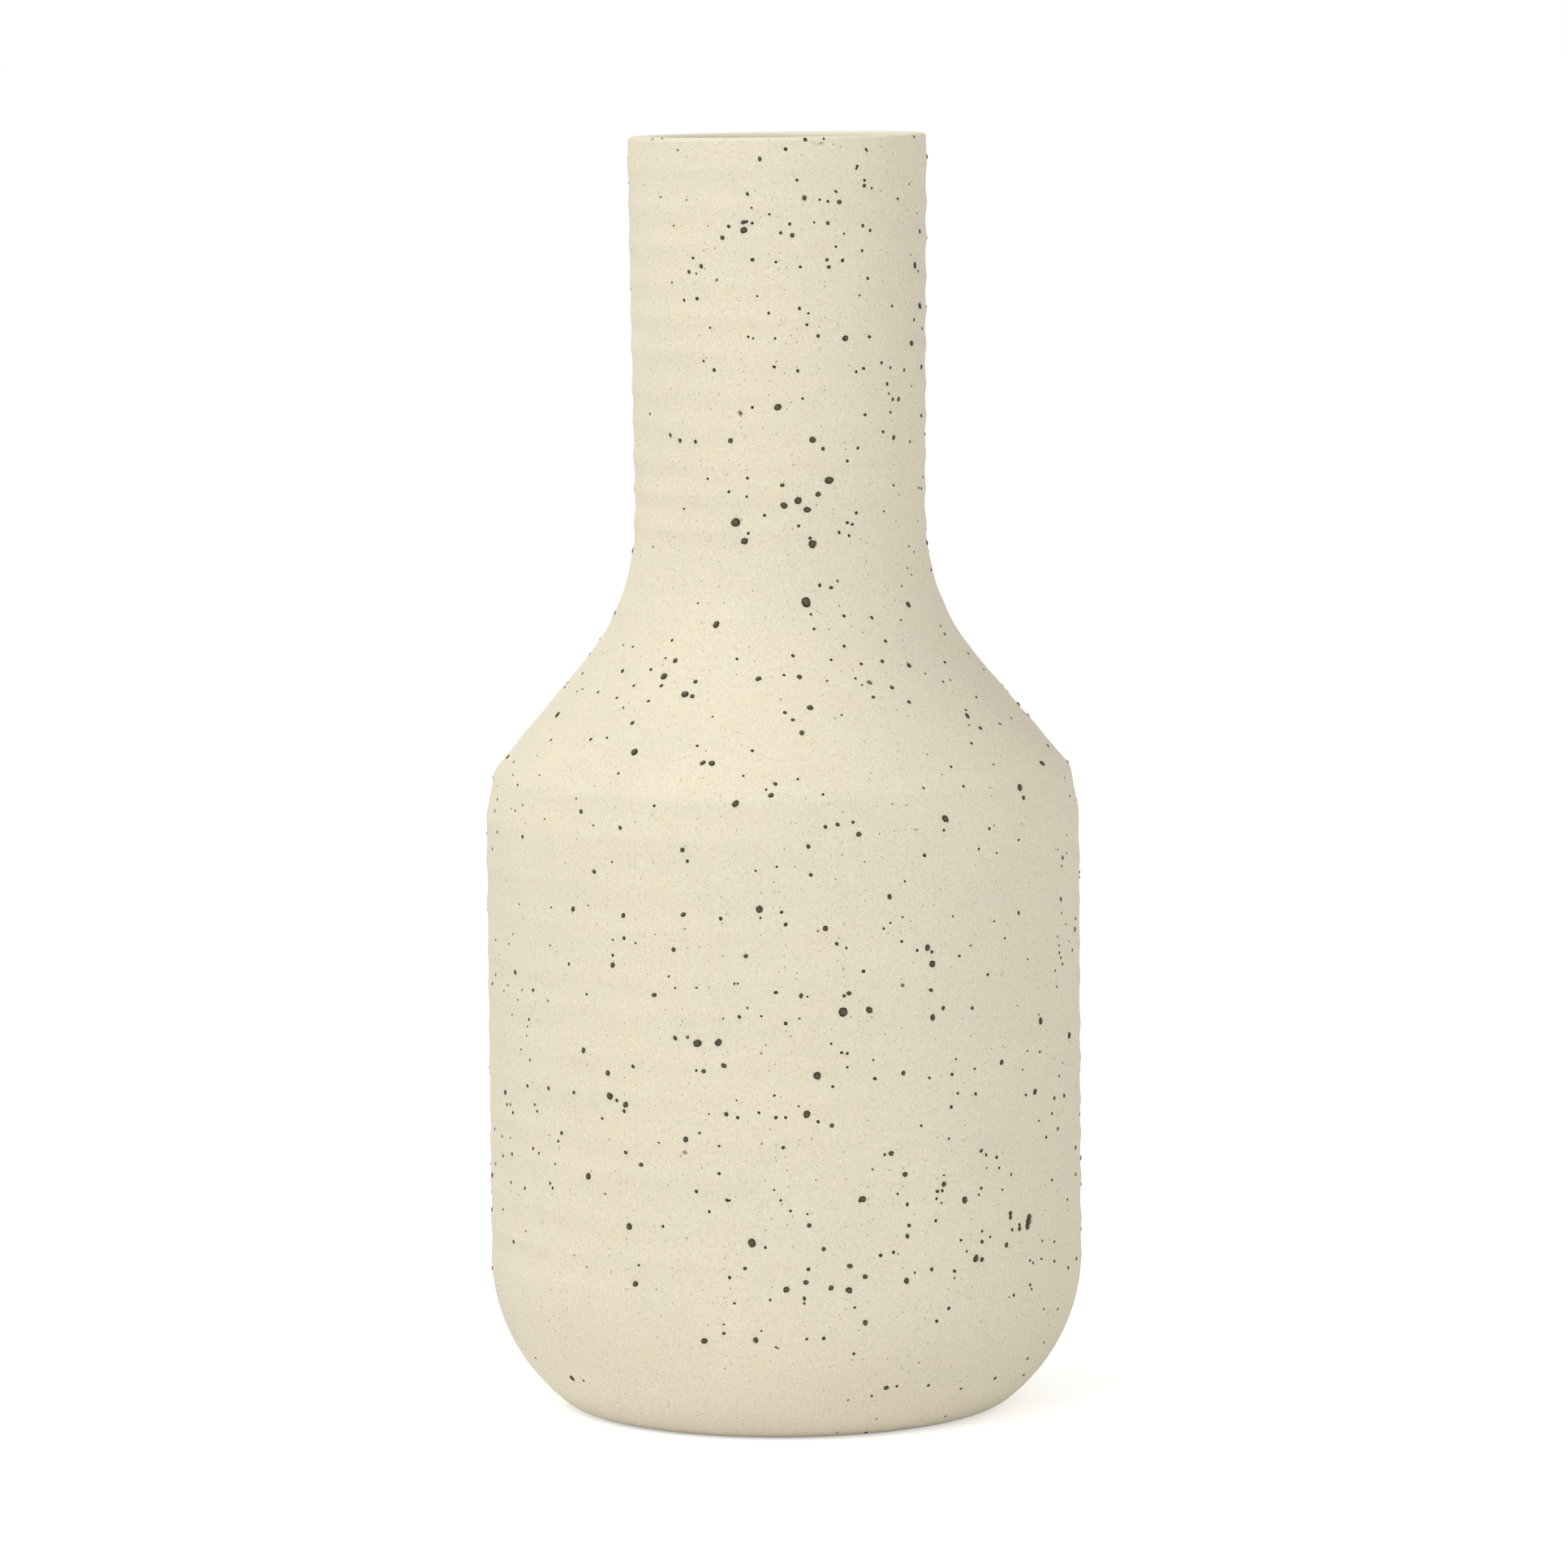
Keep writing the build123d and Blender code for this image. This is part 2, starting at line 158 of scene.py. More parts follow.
HEEL_SPOTS: tuple[Spot, ...] = (
    (1115, 1447, 7), (1163, 1459, 7), (1155, 1468, 5), (1161, 1467, 4.5), (858, 1468, 5), (896, 1479, 5),
    (1118, 1484, 5), (997, 1510, 6), (1120, 1510, 5.5), (1118, 1523, 6), (943, 1537, 4), (1015, 1539, 6),
    (1210, 1530, 5.5), (1240, 1534, 7), (1210, 1552, 6.5), (1047, 1560, 7), (918, 1563, 5), (996, 1564, 5),
    (1148, 1564, 5), (1176, 1566, 5), (1066, 1573, 6.5), (899, 1574, 4.5), (1117, 1578, 8), (993, 1580, 7),
    (783, 1582, 8), (1024, 1587, 7), (969, 1589, 8), (1046, 1590, 8.5), (991, 1600, 5), (1169, 1612, 5),
    (1154, 1628, 5), (1066, 1630, 7), (892, 1643, 4.5), (1015, 1649, 5), (868, 1652, 8), (931, 1651, 7.5),
    (705, 1698, 8), (1092, 1710, 7), (1105, 1708, 4), (1074, 1720, 4), (1045, 1725, 3), (1067, 1765, 5),
    (1031, 1765, 3), (1325, 1447, 5), (1296, 1454, 4.5), (1315, 1478, 4), (954, 1466, 3), (962, 1479, 3.5),
    (974, 1492, 3.5), (995, 1496, 3), (1246, 1447, 4), (1235, 1466, 3.5), (1209, 1464, 4.5),
    (1206, 1472, 3.5), (1163, 1448, 3), (1154, 1477, 4), (1160, 1482, 3), (1106, 1471, 3.5),
    (1153, 1504, 4.5), (1184, 1528, 4), (1191, 1542, 3.5), (1210, 1517, 4), (1220, 1524, 4),
    (1247, 1515, 4.5), (1284, 1529, 4), (1299, 1530, 4.5), (1283, 1551, 4), (1299, 1554, 4.5),
    (1269, 1553, 4), (1273, 1556, 4), (1316, 1562, 5), (1326, 1551, 5), (1269, 1583, 4.5),
    (1271, 1588, 3.5), (1249, 1596, 4.5), (1286, 1613, 3.5), (1303, 1613, 4), (1286, 1654, 3.5),
    (1176, 1575, 3), (1127, 1568, 3), (1101, 1543, 4.5), (1085, 1547, 5), (1053, 1611, 3.5), (994, 1650, 4),
    (949, 1602, 3.5), (1052, 1668, 4), (607, 1448, 7), (630, 1457, 4), (647, 1464, 4.5), (678, 1458, 4),
    (681, 1464, 4), (746, 1471, 3), (620, 1490, 4), (648, 1517, 3), (633, 1530, 5.5), (817, 1511, 4),
    (787, 1559, 3.5), (660, 1673, 3.5), (886, 1446, 4.5), (874, 1493, 4), (905, 1606, 3.5), (892, 1632, 3),
    (938, 1640, 3), (956, 1660, 3), (991, 1606, 3.5), (1144, 1707, 4.5), (1184, 1711, 4), (1165, 1745, 3.5),
    (1080, 1748, 3), (1226, 1698, 5), (1266, 1674, 4.5), (1261, 1694, 4.5), (719, 1701, 4),
    (1268, 1500, 9.5), (1267, 1505, 10), (1266, 1510, 9.5), (1245, 1495, 6.5), (1245, 1500, 6),
    (1256, 1514, 6), (1256, 1509, 4.5), (899, 1479, 3.5), (1059, 1480, 3.5),
)
OLIVE_SPOTS: tuple[Spot, ...] = (
    (912, 509, 6), (1071, 841, 7), (1112, 1214, 5), (847, 1278, 5), (883, 345, 4), (1095, 485, 4),
    (801, 510, 4), (1032, 716, 4), (1019, 839, 4), (862, 1396, 4.5),
    (804, 171.5, 3.5), (816, 171, 3.5),
)
TAN_SPOTS: tuple[Spot, ...] = ((844, 1420, 6), (967, 1450, 6), (1008, 1147, 4), (938, 1298, 3.5))
# Rubbed marks in the glaze, read in the same way: pixel across, pixel down, length in pixels
RUBBED_MARKS: tuple[Spot, ...] = (
    (1009, 176.5, 14), (1027, 178, 6), (1036, 178.5, 5), (1080, 993, 5), (1099, 991, 5), (1116, 991.5, 8),
    (1106, 1023, 4), (1116, 1022, 6), (1129, 1022.5, 8),
)


def shade(red: int, green: int, blue: int) -> Rgba:
    """Linear RGBA of a colour written in display values from 0 to 255."""
    return (*Color((red / 255, green / 255, blue / 255)).from_srgb_to_scene_linear(), 1.0)


def clamp(value: float) -> float:
    """The value, held between 0 and 1."""
    return min(1.0, max(0.0, value))


class Tone(Enum):
    """Colour of a melted bead, from black iron to the paler ones that took up glaze."""

    IRON = 0.0
    OLIVE = 0.5
    TAN = 1.0


class Wall(Enum):
    """Way in which a turned surface faces."""

    OUTWARD = 1
    INWARD = -1


@dataclass(frozen=True)
class PhotoView:
    """Camera that stands where the photograph's stood."""

    place: tuple[float, float, float] = (0.36 * MM, -1800 * MM, 335.2 * MM)
    pitch_deg: float = 5.966
    roll_deg: float = 0.5
    focal_px: float = 9455.0
    frame_px: float = 1932.0
    sensor_mm: float = 36.0
    clip: tuple[float, float] = (0.01, 200.0)

    def pose(self) -> Matrix:
        """Place and turn of the camera."""
        tilt = Matrix.Rotation(math.radians(90 - self.pitch_deg), 4, "X")
        roll = Matrix.Rotation(math.radians(-self.roll_deg), 4, "Z")
        return Matrix.Translation(self.place) @ tilt @ roll

    def build(self) -> bpy.types.Object:
        """Makes the camera and hands it to the scene.

        Returns:
            The camera object.
        """
        lens = bpy.data.cameras.new("photo_view")
        lens.sensor_width = self.sensor_mm
        lens.lens = self.focal_px / self.frame_px * self.sensor_mm
        lens.clip_start, lens.clip_end = self.clip
        camera = bpy.data.objects.new("photo_view", lens)
        camera.matrix_world = self.pose()
        bpy.context.scene.collection.objects.link(camera)
        bpy.context.scene.camera = camera
        return camera

    def ray(self, across: float, down: float) -> tuple[Vector, Vector]:
        """Line of sight through a pixel of the photograph.

        Args:
            across: Pixels from the left edge.
            down: Pixels from the top edge.

        Returns:
            The camera's place and the direction of sight.
        """
        half = self.frame_px / 2
        sight = Vector((across - half, half - down, -self.focal_px)).normalized()
        return Vector(self.place), self.pose().to_3x3() @ sight

    def width_at(self, pixels: float, point: Vector) -> float:
        """Real width of a number of pixels at a point's distance."""
        return pixels * (point - Vector(self.place)).length / self.focal_px


class Graph:
    """Node tree that grows by one linked node at a time."""

    def __init__(self, tree: bpy.types.NodeTree) -> None:
        """Takes the tree to build in."""
        self.tree = tree

    def add(
        self, kind: str, feeds: dict[str | int, Feed] | None = None, **settings: object
    ) -> bpy.types.Node:
        """Adds a node.

        Args:
            kind: Node type without its ShaderNode prefix.
            feeds: Values or other nodes' outputs for its inputs, by name or number.
            **settings: Properties of the node itself.

        Returns:
            The new node.
        """
        node = self.tree.nodes.new(kind if kind.startswith("NodeGroup") else f"ShaderNode{kind}")
        for name, value in settings.items():
            setattr(node, name, value)
        for name, value in (feeds or {}).items():
            self.feed(node.inputs[name], value)
        return node

    def feed(self, socket: Socket, value: Feed) -> None:
        """Links another node's output to a socket, or sets its value."""
        if isinstance(value, Socket):
            self.tree.links.new(value, socket)
        else:
            socket.default_value = value

    def sum(self, operation: str, first: Feed, second: Feed) -> Socket:
        """Result of a two-number Math node."""
        return self.add("Math", {0: first, 1: second}, operation=operation).outputs[0]

    def mix(self, share: Feed, first: Feed, second: Feed, blend: str = "MIX") -> Socket:
        """Mix of two colours.

        Args:
            share: How much of the second colour shows.
            first: Colour below.
            second: Colour on top.
            blend: Blend mode.

        Returns:
            The mixed colour's socket.
        """
        feeds = {0: share, 6: first, 7: second}
        return self.add("Mix", feeds, data_type="RGBA", blend_type=blend).outputs[2]

    def range(self, value: Feed, low: Feed, high: Feed, start: float, end: float) -> Socket:
        """Smooth step of a value.

        Args:
            value: What is mapped.
            low: Value that gives start.
            high: Value that gives end.
            start: Result at and below low.
            end: Result at and above high.

        Returns:
            The mapped value's socket.
        """
        feeds = {"Value": value, "From Min": low, "From Max": high, "To Min": start, "To Max": end}
        return self.add("MapRange", feeds, interpolation_type="SMOOTHSTEP").outputs[0]

    def group(self, tree: bpy.types.NodeTree, feeds: dict[str, Feed]) -> Socket:
        """First output of a shared node group placed in this tree."""
        node = self.tree.nodes.new("ShaderNodeGroup")
        node.node_tree = tree
        for name, value in feeds.items():
            self.feed(node.inputs[name], value)
        return node.outputs[0]


def new_group(
    name: str, inputs: dict[str, float], output: str
) -> tuple[Graph, dict[str, Socket], bpy.types.Node]:
    """Starts a shared node group that reads a Vector and puts out one value.

    Args:
        name: The group's name.
        inputs: Its number inputs with their usual values.
        output: Name of the value that it puts out.

    Returns:
        The graph, its inputs' sockets by name, and its output node.
    """
    tree = bpy.data.node_groups.new(name, "ShaderNodeTree")
    tree.interface.new_socket("Vector", in_out="INPUT", socket_type="NodeSocketVector")
    for label, value in inputs.items():
        tree.interface.new_socket(label, in_out="INPUT", socket_type="NodeSocketFloat").default_value = value
    tree.interface.new_socket(output, in_out="OUTPUT", socket_type="NodeSocketFloat")
    graph = Graph(tree)
    start = graph.add("NodeGroupInput")
    given = {socket.name: socket for socket in start.outputs if socket.name}
    return graph, given, graph.add("NodeGroupOutput")


class ClayEffects:
    """Node groups that the fired finishes share: specks, mottling and grain."""

    SPECK_SPREAD = 0.9
    SPECK_LEAST = 0.35
    SPECK_CORE = 0.55
    CLOUD_EDGES = (0.34, 0.66)
    CLOUD_NOISE = {"Detail": 3.0, "Roughness": 0.55}
    GRAIN_NOISE = {"Detail": 4.0, "Roughness": 0.7}

    def __init__(self) -> None:
        """Builds the three groups once."""
        self.specks = self.build_specks()
        self.mottle = self.build_mottle()
        self.grain = self.build_grain()

    @classmethod
    def build_specks(cls) -> bpy.types.NodeTree:
        """Scattered round specks of uneven size.

        Returns:
            The node group.
        """
        graph, given, end = new_group("specks", {"Scale": 500.0, "Radius": 0.15, "Share": 0.5}, "Mask")
        cells = graph.add("TexVoronoi", {"Vector": given["Vector"], "Scale": given["Scale"]})
        lot = graph.add("SeparateColor", {"Color": cells.outputs["Color"]})
        spread = {0: lot.outputs[1], 1: cls.SPECK_SPREAD, 2: cls.SPECK_LEAST}
        size = graph.add("Math", spread, operation="MULTIPLY_ADD").outputs[0]
        reach = graph.sum("MULTIPLY", size, given["Radius"])
        core = graph.sum("MULTIPLY", reach, cls.SPECK_CORE)
        inside = graph.range(cells.outputs["Distance"], core, reach, 1.0, 0.0)
        picked = graph.sum("LESS_THAN", lot.outputs[0], given["Share"])
        graph.feed(end.inputs[0], graph.sum("MULTIPLY", inside, picked))
        return graph.tree

    @classmethod
    def build_mottle(cls) -> bpy.types.NodeTree:
        """Soft clouds that are wider than they are high, as a turning pot takes its glaze.

        Returns:
            The node group.
        """
        graph, given, end = new_group("mottle", {"Scale": 40.0, "Flatness": 1.6}, "Cloud")
        stretch = graph.add("CombineXYZ", {0: 1.0, 1: 1.0, 2: given["Flatness"]})
        flat = graph.add("VectorMath", {0: given["Vector"], 1: stretch.outputs[0]}, operation="MULTIPLY")
        feeds = {"Vector": flat.outputs[0], "Scale": given["Scale"], **cls.CLOUD_NOISE}
        cloud = graph.add("TexNoise", feeds).outputs[0]
        graph.feed(end.inputs[0], graph.range(cloud, *cls.CLOUD_EDGES, 0.0, 1.0))
        return graph.tree

    @classmethod
    def build_grain(cls) -> bpy.types.NodeTree:
        """Fine dry grain of a fired surface.

        Returns:
            The node group.
        """
        graph, given, end = new_group("grain", {"Scale": 1500.0}, "Height")
        feeds = {"Vector": given["Vector"], "Scale": given["Scale"], **cls.GRAIN_NOISE}
        graph.feed(end.inputs[0], graph.add("TexNoise", feeds).outputs[0])
        return graph.tree


def new_material(name: str) -> tuple[bpy.types.Material, Graph, bpy.types.Node, Socket]:
    """Starts a material.

    Args:
        name: The material's name.

    Returns:
        The material, its graph, its Principled shader and the object coordinates.
    """
    material = bpy.data.materials.new(name)
    material.use_nodes = True
    graph = Graph(material.node_tree)
    shader = material.node_tree.nodes["Principled BSDF"]
    return material, graph, shader, graph.add("TexCoord").outputs["Object"]


@dataclass(frozen=True)
class SpeckLayer:
    """One size of speck in a glaze."""

    scale: float
    radius: float
    share: float
    strength: float
    colour: Rgba

    def lay(self, graph: Graph, effects: ClayEffects, coords: Feed, under: Feed) -> Socket:
        """Lays the specks over a colour.

        Args:
            graph: Graph of the material.
            effects: Shared node groups.
            coords: Object coordinates.
            under: Colour below the specks.

        Returns:
            The speckled colour's socket.
        """
        feeds = {"Vector": coords, "Scale": self.scale, "Radius": self.radius, "Share": self.share}
        mask = graph.group(effects.specks, feeds)
        return graph.mix(graph.sum("MULTIPLY", mask, self.strength), under, self.colour)


@dataclass(frozen=True)
class Clouds:
    """Soft clouds of one size in a finish."""

    scale: float
    flatness: float

    def mask(self, graph: Graph, effects: ClayEffects, coords: Feed) -> Socket:
        """Where the clouds lie, from 0 to 1."""
        feeds = {"Vector": coords, "Scale": self.scale, "Flatness": self.flatness}
        return graph.group(effects.mottle, feeds)


@dataclass(frozen=True)
class Grain:
    """Fine dry grain that roughens a finish."""

    SPAN = (0.3, 0.7)

    scale: float
    strength: float
    depth: float

    def height(self, graph: Graph, effects: ClayEffects, coords: Feed) -> Socket:
        """How high the grain stands, mostly within its span."""
        return graph.group(effects.grain, {"Vector": coords, "Scale": self.scale})

    def roughen(self, graph: Graph, shader: bpy.types.Node, height: Socket) -> None:
        """Gives a shader the grain's bumps."""
        bump = graph.add("Bump", {"Strength": self.strength, "Distance": self.depth, "Height": height})
        graph.feed(shader.inputs["Normal"], bump.outputs[0])


@dataclass(frozen=True)
class Smudge:
    """Rubbed grey mark in the glaze, a flat ellipse broken up by grain."""

    centre: Vector
    length: float
    flatness: float = 2.6
    edges: tuple[float, float] = (0.4, 1.3)
    breaks: Clouds = Clouds(900.0, 1.6)

    def mask(self, graph: Graph, effects: ClayEffects, coords: Feed) -> Socket:
        """Where the mark shows.

        Args:
            graph: Graph of the material.
            effects: Shared node groups.
            coords: Object coordinates.

        Returns:
            The mask's socket.
        """
        place = graph.add("VectorMath", {0: coords, 1: self.centre}, operation="SUBTRACT").outputs[0]
        half = self.length / 2
        reach = (half, half, half / self.flatness)
        scaled = graph.add("VectorMath", {0: place, 1: reach}, operation="DIVIDE").outputs[0]
        length = graph.add("VectorMath", {0: scaled}, operation="LENGTH").outputs["Value"]
        patch = graph.range(length, *self.edges, 1.0, 0.0)
        return graph.sum("MULTIPLY", patch, self.breaks.mask(graph, effects, coords))


@dataclass(frozen=True)
class MatteGlaze:
    """Dry cream glaze with brown dust, pale grains and soft clouds; painted light makes it paler towards the
    foot.
    """

    name: str = "matte_glaze"
    cream: Rgba = shade(234, 224, 200)
    straw: Rgba = shade(231, 221, 191)
    ash: Rgba = shade(227, 218, 199)
    smudge_colour: Rgba = shade(152, 142, 116)
    # foot: painted light, a paler cream that brightens the heel in place of light bounced up from the floor
    foot: Rgba = shade(243, 234, 212)
    painted_light_heights: tuple[float, float] = (2 * MM, 18 * MM)
    painted_light_share: float = 0.85
    wide_clouds: Clouds = Clouds(22.0, 1.5)
    wide_share: float = 0.55
    small_clouds: Clouds = Clouds(150.0, 1.2)
    small_share: float = 0.45
    grain: Grain = Grain(1400.0, 0.25, 0.08 * MM)
    tooth: tuple[float, float] = (0.928, 1.05)
    roughness: tuple[float, float] = (0.62, 0.72)
    specular: float = 0.45
    layers: tuple[SpeckLayer, ...] = (
        SpeckLayer(1900.0, 0.30, 1.0, 0.21, shade(152, 138, 102)),
        SpeckLayer(1300.0, 0.23, 1.0, 0.44, shade(152, 138, 102)),
        SpeckLayer(900.0, 0.16, 0.55, 0.40, shade(250, 244, 230)),
        SpeckLayer(760.0, 0.16, 0.45, 0.72, shade(104, 92, 68)),
    )
    smudges: tuple[Smudge, ...] = ()

    def material(self, effects: ClayEffects) -> bpy.types.Material:
        """Builds the finish.

        Args:
            effects: Shared node groups.

        Returns:
            The material.
        """
        material, graph, shader, coords = new_material(self.name)
        wide = self.wide_clouds.mask(graph, effects, coords)
        small = self.small_clouds.mask(graph, effects, coords)
        grain = self.grain.height(graph, effects, coords)
        colour = graph.mix(graph.sum("MULTIPLY", wide, self.wide_share), self.cream, self.ash)
        colour = graph.mix(graph.sum("MULTIPLY", small, self.small_share), colour, self.straw)
        height = graph.add("SeparateXYZ", {0: coords}).outputs["Z"]
        # Painted light: the glaze turns paler towards the foot, standing in for light bounced up from the
        # floor onto the heel
        low = graph.range(height, *self.painted_light_heights, self.painted_light_share, 0.0)
        colour = graph.mix(low, colour, self.foot)
        tooth = graph.range(grain, *Grain.SPAN, *self.tooth)
        colour = graph.mix(1.0, colour, tooth, "MULTIPLY")
        for layer in self.layers:
            colour = layer.lay(graph, effects, coords, colour)
        for smudge in self.smudges:
            mask = smudge.mask(graph, effects, coords)
            colour = graph.mix(mask, colour, self.smudge_colour)
        graph.feed(shader.inputs["Base Color"], colour)
        graph.feed(shader.inputs["Roughness"], graph.range(wide, 0.0, 1.0, *self.roughness))
        shader.inputs["Specular IOR Level"].default_value = self.specular
        self.grain.roughen(graph, shader, grain)
        return material


@dataclass(frozen=True)
class LinerGlaze:
    """Smoother cream glaze of the inside."""

    name: str = "liner_glaze"
    cream: Rgba = shade(231, 221, 196)
    straw: Rgba = shade(226, 214, 184)
    lip: Rgba = shade(230, 223, 203)
    lip_heights: tuple[float, float] = (290 * MM, 299 * MM)
    clouds: Clouds = Clouds(45.0, 2.0)
    grain: Grain = Grain(1000.0, 0.15, 0.05 * MM)
    roughness: tuple[float, float] = (0.5, 0.6)
    specks: SpeckLayer = SpeckLayer(900.0, 0.18, 0.6, 0.5, shade(140, 122, 92))

    def material(self, effects: ClayEffects) -> bpy.types.Material:
        """Builds the finish.

        Args:
            effects: Shared node groups.

        Returns:
            The material.
        """
        material, graph, shader, coords = new_material(self.name)
        cloud = self.clouds.mask(graph, effects, coords)
        grain = self.grain.height(graph, effects, coords)
        height = graph.add("SeparateXYZ", {0: coords}).outputs["Z"]
        pale = graph.range(height, *self.lip_heights, 0.0, 1.0)
        colour = graph.mix(pale, graph.mix(cloud, self.cream, self.straw), self.lip)
        colour = self.specks.lay(graph, effects, coords, colour)
        graph.feed(shader.inputs["Base Color"], colour)
        graph.feed(shader.inputs["Roughness"], graph.range(cloud, 0.0, 1.0, *self.roughness))
        self.grain.roughen(graph, shader, grain)
        return material


@dataclass(frozen=True)
class BareStoneware:
    """Fired clay without glaze: buff, gritty and fully matte."""

    name: str
    buff: Rgba
    toast: Rgba
    grit: SpeckLayer = SpeckLayer(380.0, 0.2, 0.6, 0.6, shade(84, 66, 48))
    clouds: Clouds = Clouds(60.0, 1.0)
    grain: Grain = Grain(900.0, 0.6, 0.2 * MM)
    roughness: tuple[float, float] = (0.8, 0.95)

    def material(self, effects: ClayEffects) -> bpy.types.Material:
        """Builds the finish.

        Args:
            effects: Shared node groups.

        Returns:
            The material.
        """
        material, graph, shader, coords = new_material(self.name)
        cloud = self.clouds.mask(graph, effects, coords)
        grain = self.grain.height(graph, effects, coords)
        colour = self.grit.lay(graph, effects, coords, graph.mix(cloud, self.buff, self.toast))
        graph.feed(shader.inputs["Base Color"], colour)
        graph.feed(shader.inputs["Roughness"], graph.range(grain, *Grain.SPAN, *self.roughness))
        self.grain.roughen(graph, shader, grain)
        return material


@dataclass(frozen=True)
class MeltedIron:
    """Glassy brown-black iron that bled up through the glaze, with a painted highlight on each bead's top."""

    name: str = "iron"
    black: Rgba = shade(44, 38, 28)
    umber: Rgba = shade(60, 51, 37)
    # Painted highlight: paler colour laid on the top of each bead
    painted_highlight: Rgba = shade(94, 86, 70)
    olive: Rgba = shade(122, 112, 78)
    tan: Rgba = shade(168, 150, 108)
    clouds: Clouds = Clouds(900.0, 1.0)
    painted_highlight_edges: tuple[float, float] = (0.2, 0.9)
    roughness: tuple[float, float] = (0.28, 0.42)
    specular: float = 0.15

    def material(self, effects: ClayEffects) -> bpy.types.Material:
        """Builds the finish.

        Args:
            effects: Shared node groups.

        Returns:
            The material.
        """
        material, graph, shader, coords = new_material(self.name)
        cloud = self.clouds.mask(graph, effects, coords)
        tone = graph.add("Attribute", attribute_name=IronBeads.TONE).outputs["Fac"]
        painted_highlight = graph.add("Attribute", attribute_name=IronBeads.PAINTED_HIGHLIGHT).outputs["Fac"]
        dark = graph.mix(cloud, self.black, self.umber)
        # Painted highlight: the top of each bead, marked by its attribute, takes the paler colour
        highlighted = graph.mix(graph.range(painted_highlight, *self.painted_highlight_edges, 0.0, 1.0), dark, self.painted_highlight)
        iron, olive, tan = (step.value for step in Tone)
        greenish = graph.mix(graph.range(tone, iron, olive, 0.0, 1.0), highlighted, self.olive)
        colour = graph.mix(graph.range(tone, olive, tan, 0.0, 1.0), greenish, self.tan)
        graph.feed(shader.inputs["Base Color"], colour)
        graph.feed(shader.inputs["Roughness"], graph.range(cloud, 0.0, 1.0, *self.roughness))
        shader.inputs["Specular IOR Level"].default_value = self.specular
        return material


@dataclass(frozen=True)
class Form:
    """Sizes of the vase in millimetres, as its solids have them."""

    height: float = 300.0
    body_radius: float = 70.0
    neck_radius: float = 34.2
    rim_radius: float = 35.0
    mouth_radius: float = 29.5
    foot_radius: float = 47.0
    foot_curve: float = 11.0
    heel_height: float = 36.0
    shoulder_height: float = 151.0
    shoulder_band: float = 10.5
    shoulder_tuck: float = 2.0
    shoulder_angle: float = 40.0
    joint_rise: float = 25.0
    lip_radius: float = 1.1
    wall: float = 5.0
    floor: float = 8.0
    glaze: float = 0.5
    dry_foot: float = 0.4
    lip_tilt: float = 0.44
    tilt_depth: float = 16.0
    tilt_run: float = 14.0

    @property
    def lip_height(self) -> float:
        """Height at which the lip starts to round over."""
        return self.height - self.lip_radius

    @property
    def crest_radius(self) -> float:
        """Middle of the lip, where the two coats meet."""
        return (self.rim_radius + self.mouth_radius) / 2

    def slope_height(self, radius: float, depth: float) -> float:
        """Height of the straight shoulder at a radius.

        Args:
            radius: Distance from the axis.
            depth: Distance below the shoulder's surface.

        Returns:
            The height.
        """
        slope = math.radians(self.shoulder_angle)
        edge = self.body_radius - self.shoulder_tuck - depth / math.cos(slope)
        return self.shoulder_height + (edge - radius) / math.tan(slope)


